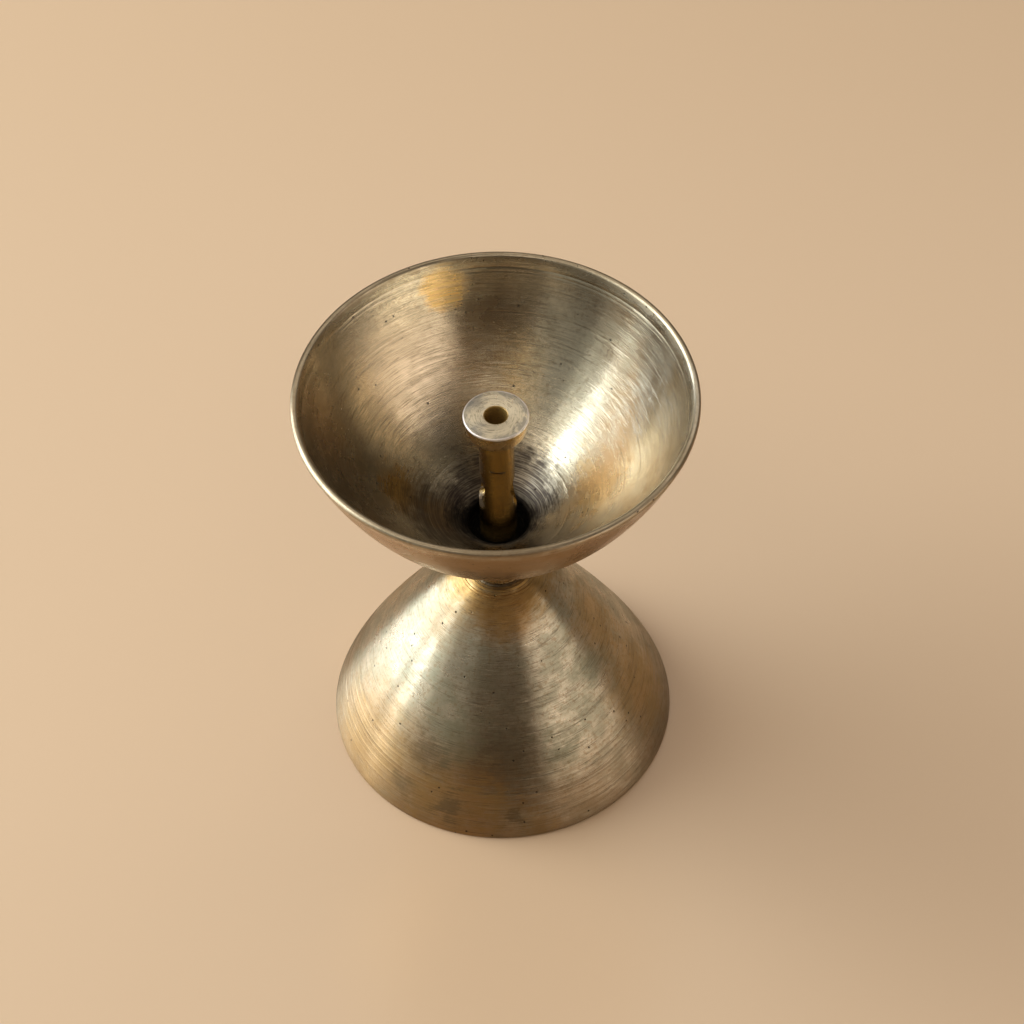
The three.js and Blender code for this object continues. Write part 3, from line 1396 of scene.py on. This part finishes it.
FOOT_STAINS_AND_SHADE = on_face(
    Face.OUTSIDE,
    Ring(BROWN, 0.6, (8.0, 30.0), (-4.0, 10.0), soft=7.0, wander=8.0),
    Ring(UMBER, 0.6, (20.0, 30.0), (-2.0, 3.0), soft=3.5, wander=5.0),
    Ring(ORANGE, 0.75, (3.0, 7.8), (33.0, 36.0), soft=1.6, wander=3.0),
    # These two darken the top of the foot bowl round the neck: brown tarnish, deepened as painted shade
    # where the oil bowl shades it.
    Ring(TOFFEE, 0.75, (3.0, 10.0), (31.5, 36.0), soft=2.4, wander=4.0),
    Spot(RUST, 0.8, (0.5, -8.5, 32.5), 7.0, wander=5.0),
    Spot(DARK_SIENNA, 0.5, (4.0, -5.0, 34.8), 4.0, wander=4.0),
    Ring(HONEY, 0.75, (3.0, 5.3), (34.9, 36.0), soft=0.1, wander=0.1),
    Ring(INK, 0.8, (4.46, 4.52), (34.6, 36.0), soft=0.02, wander=0.02),
    Ring(INK, 0.8, (4.97, 5.03), (34.6, 36.0), soft=0.02, wander=0.02),
    Ring(INK, 0.7, (5.35, 5.41), (34.6, 36.0), soft=0.03, wander=0.04),
    # Brown tarnish, deepened as painted shade on the top left of the foot bowl under the oil bowl.
    Spot(BROWN, 0.65, (-10.5, -6.5, 30.5), 8.5, wander=6.0, dulls=0.1),
    # Painted dark reflection down the middle of the front of the foot bowl, over some tarnish near the
    # foot.
    Spot(DEEP_UMBER, 0.85, (-1.0, -22.0, 13.0), 13.0, wander=7.0, core=0.2),
    Spot(DEEP_UMBER, 0.6, (0.0, -15.0, 24.0), 10.0, wander=6.0, core=0.15),
    Spot(ORANGE, 0.5, (15.0, -2.0, 24.0), 9.0),
    Spot(ORANGE, 0.5, (21.5, -5.0, 12.0), 12.0),
    Spot(RUST, 0.65, (-21.0, -13.0, 7.0), 17.0),
    Spot(RUST, 0.65, (-8.0, -23.0, 5.0), 14.0),
    Spot(UMBER, 0.5, (10.0, -23.0, 4.0), 9.0),
    Spot(TOFFEE, 0.55, (-12.5, -22.5, 6.0), 6.0, wander=12.0),
    Spot(TOFFEE, 0.5, (-3.0, -25.0, 6.5), 5.0, wander=12.0),
    Spot(TOFFEE, 0.5, (5.0, -26.5, 2.5), 4.5, wander=10.0),
    Spot(DEEP_UMBER, 0.55, (-9.0, -24.6, 4.6), 3.6, wander=9.0),
    Spot(DEEP_UMBER, 0.5, (-16.5, -20.5, 5.5), 3.2, wander=8.0),
    Spot(DEEP_UMBER, 0.5, (-12.0, -19.5, 12.0), 4.5, wander=12.0),
    Spot(DEEP_UMBER, 0.55, (1.5, -26.8, 4.0), 2.0, wander=6.0),
    Spot(VERDIGRIS, 0.4, (9.0, -19.0, 14.0), 5.0, wander=14.0, dulls=0.1),
    Spot(VERDIGRIS, 0.35, (-7.0, -19.5, 16.0), 6.5, wander=14.0, dulls=0.1),
    Spot(VERDIGRIS, 0.35, (13.5, -10.0, 22.0), 5.5, wander=12.0, dulls=0.1),
    Spot(RUST, 0.5, (12.0, 20.0, 12.0), 14.0),
    Spot(ORANGE, 0.4, (-16.0, 14.0, 18.0), 9.0),
)

BOWL_OUTSIDE_STAINS_AND_SHADE = on_face(
    Face.OUTSIDE,
    # Brown tarnish over the whole outside of the oil bowl, deepened as a painted dark reflection of the
    # floor below it.
    Ring(RUST, 0.8, (3.0, 31.0), (40.0, 73.4), soft=1.2, wander=3.0),
    Spot(ORANGE, 0.4, (-14.0, -14.0, 56.0), 16.0),
    # Painted dark reflection over brown staining: these two darken the middle front of the oil bowl's
    # underside.
    Spot(UMBER, 0.4, (10.0, -20.0, 58.0), 15.0),
    Spot(DARK_SIENNA, 0.9, (0.0, -11.0, 49.0), 13.0),
    # Brown tarnish on the neck of the oil bowl, deepened as painted shade under the bowl.
    Ring(TOFFEE, 0.95, (0.0, 6.0), (34.0, 41.5), soft=1.2, wander=2.5),
)

BOWL_EDGE_STAINS = (
    Ring(INK, 0.5, (4.0, 4.6), (36.17, 36.23), soft=0.03, wander=0.03),
    Ring(INK, 0.5, (4.0, 4.6), (36.72, 36.78), soft=0.03, wander=0.03),
    Ring(INK, 0.4, (4.0, 4.6), (37.32, 37.38), soft=0.03, wander=0.03),
    Ring(UMBER, 0.5, (28.6, 31.0), (73.9, 76.0), soft=0.5, wander=1.0, dulls=0.1),
    Spot(UMBER, 0.4, (0.0, -29.5, 74.5), 14.0, wander=5.0, dulls=0.15),
)

BOWL_INSIDE_STAINS_AND_LIGHT = on_face(
    Face.INSIDE,
    Spot(TAN, 0.7, (-13.0, 17.0, 62.0), 15.0, wander=6.0, dulls=0.0),
    # Painted highlight on the right inner wall of the oil bowl.
    Spot(PAINTED_HIGHLIGHT, 0.85, (25.0, -1.0, 63.0), 17.0, wander=5.0, core=0.3, dulls=0.0),
    Spot(ORANGE, 0.6, (16.0, -1.0, 53.5), 10.0, wander=12.0),
    Spot(ORANGE, 0.9, (-15.5, 0.0, 53.0), 7.0),
    Spot(ORANGE, 0.7, (-9.0, -1.0, 48.5), 5.0),
    Spot(RUST, 0.5, (-27.0, 1.0, 66.0), 12.0),
    Spot(UMBER, 0.35, (-22.0, -6.0, 60.0), 12.0),
    Spot(UMBER, 0.6, (-0.5, 24.0, 66.5), 6.5, wander=11.0),
    # Painted reflection: a bright orange patch high on the back inner wall that stands in for a mirrored
    # light.
    Spot(PAINTED_REFLECTION_ORANGE, 0.9, (-7.5, 26.7, 70.4), 4.3, wander=3.0, core=0.6, crust=0.3, worn=0.5),
    Spot(ORANGE, 0.4, (12.0, -14.0, 54.0), 9.0),
    Spot(CHAR, 0.92, (-9.0, -2.0, 49.0), 11.0, core=0.4, dulls=0.15, worn=0.15),
    Spot(SOOT, 0.94, (1.0, 4.0, 48.5), 11.5, core=0.5, dulls=0.15, worn=0.25),
    # Soot, deepened as painted shade: these blacken the well and the floor beside the tube's foot.
    Spot(BLACK, 0.7, (-5.0, -1.0, 47.0), 4.5, wander=3.0, core=0.4, dulls=0.2),
    Ring(BLACK, 0.4, (0.0, 6.2), (36.0, 47.6), soft=1.4, wander=2.5, dulls=0.2),
    Ring(BLACK, 0.75, (0.0, 5.4), (36.0, 47.0), soft=0.5, wander=0.8, dulls=0.2),
    Ring(BLACK, 1.0, (0.0, 5.1), (36.0, 46.5), soft=0.2, wander=0.2, dulls=0.2),
)

HEAD_STAINS_AND_HIGHLIGHT = on_face(
    Face.OUTSIDE,
    Ring(CREAM, 0.85, (0.0, 6.0), (70.2, 72.0), soft=0.15, wander=0.2, dulls=0.1),
    Ring(SLATE, 0.5, (4.2, 4.75), (69.9, 72.0), soft=0.4, wander=3.2, dulls=0.1),
    Spot(SLATE, 0.6, (-3.2, 2.4, 70.5), 2.4, wander=4.0),
    Spot(SLATE, 0.5, (-3.0, -2.8, 70.5), 1.8, wander=3.5),
    # Painted highlight along the rounded top edge of the head.
    Ring(ROSE, 0.75, (4.7, 6.0), (70.15, 72.0), soft=0.06, wander=0.1, dulls=0.15),
    Ring(TAN, 0.4, (0.0, 6.0), (66.0, 69.6), soft=1.0, wander=1.5, dulls=0.08),
)

STEM_STAINS_AND_SHADE = (
    # Soot, deepened as painted shade, where the foot of the tube stands in the well.
    Ring(BLACK, 0.95, (0.0, 4.0), (38.0, 46.0), soft=2.6, wander=2.0, crust=0.5),
    # Painted shade down the left side of the stem.
    *(
        Spot(PAINTED_SHADE_GREY, strength, (-3.4, -0.6, height), reach, wander=1.5, core=0.5, dulls=0.1)
        for height, reach, strength in ((57.0, 2.6, 0.85), (60.5, 2.5, 0.8), (64.0, 2.5, 0.7))
    ),
    Spot(PALE_ASH, 0.8, (-3.7, -0.8, 52.4), 2.4, wander=1.0, core=0.6, dulls=0.2, crust=0.6),
    Spot(PALE_ASH, 0.7, (3.7, -0.6, 53.0), 2.2, wander=1.0, core=0.6, dulls=0.2, crust=0.6),
    Spot(CHAR, 0.85, (-3.1, -0.6, 54.6), 2.1, wander=0.8, core=0.75, dulls=0.3, crust=0.8),
    Ring(DEEP_GOLD, 0.8, (0.0, 1.95), (50.0, 71.0), soft=0.2, wander=0.2, face=Face.INSIDE, crust=0.6),
    # Painted shade inside the port.
    Ring(BLACK, 0.95, (0.0, 2.57), (53.0, 57.8), soft=0.08, wander=0.05, dulls=0.2, crust=0.5),
    # Painted shade in the groove of the mark on the stem.
    Ring(BLACK, 0.9, (0.0, 2.6), (59.9, 60.9), soft=0.03, wander=0.02, crust=0.5),
)


def main() -> None:
    """Builds the pieces in order, dresses them and sets up the studio."""
    logging.basicConfig(level=logging.INFO, format="%(message)s")
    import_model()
    effects = shared_effects()
    foot_brass = Brass(
        "foot_brass",
        PALE,
        GREY,
        BROWN,
        roughness=0.26,
        cloudy=1.0,
        specked=0.5,
        lined=0.55,
        rough_inside=1.0,
        tints=FOOT_STAINS_AND_SHADE,
    )
    bowl_brass = Brass(
        "oil_bowl_brass",
        WARM_PALE,
        WARM_GREY,
        BROWN,
        roughness=0.18,
        turned_sheen=0.5,
        relief=0.2,
        tints=BOWL_OUTSIDE_STAINS_AND_SHADE + BOWL_EDGE_STAINS + BOWL_INSIDE_STAINS_AND_LIGHT,
    )
    tube_brass = Brass(
        "tube_brass",
        GOLD,
        DEEP_GOLD,
        BROWN,
        roughness=0.15,
        turned_sheen=0.4,
        cloudy=0.5,
        specked=0.2,
        lined=0.6,
        pit_size=0.04,
        tints=HEAD_STAINS_AND_HIGHLIGHT + STEM_STAINS_AND_SHADE,
    )
    assemblies = [
        FootBowl("base_bowl", "base_brass", foot_brass),
        OilBowl("oil_bowl", "bowl_brass", bowl_brass),
        WickTube("wick_tube", "tube_brass", tube_brass),
    ]
    for assembly in assemblies:
        assembly.build()
        assembly.dress(effects)
    studio = Studio()
    studio.place_camera()
    studio.lay_floor()
    studio.light()


if __name__ == "__main__":
    main()
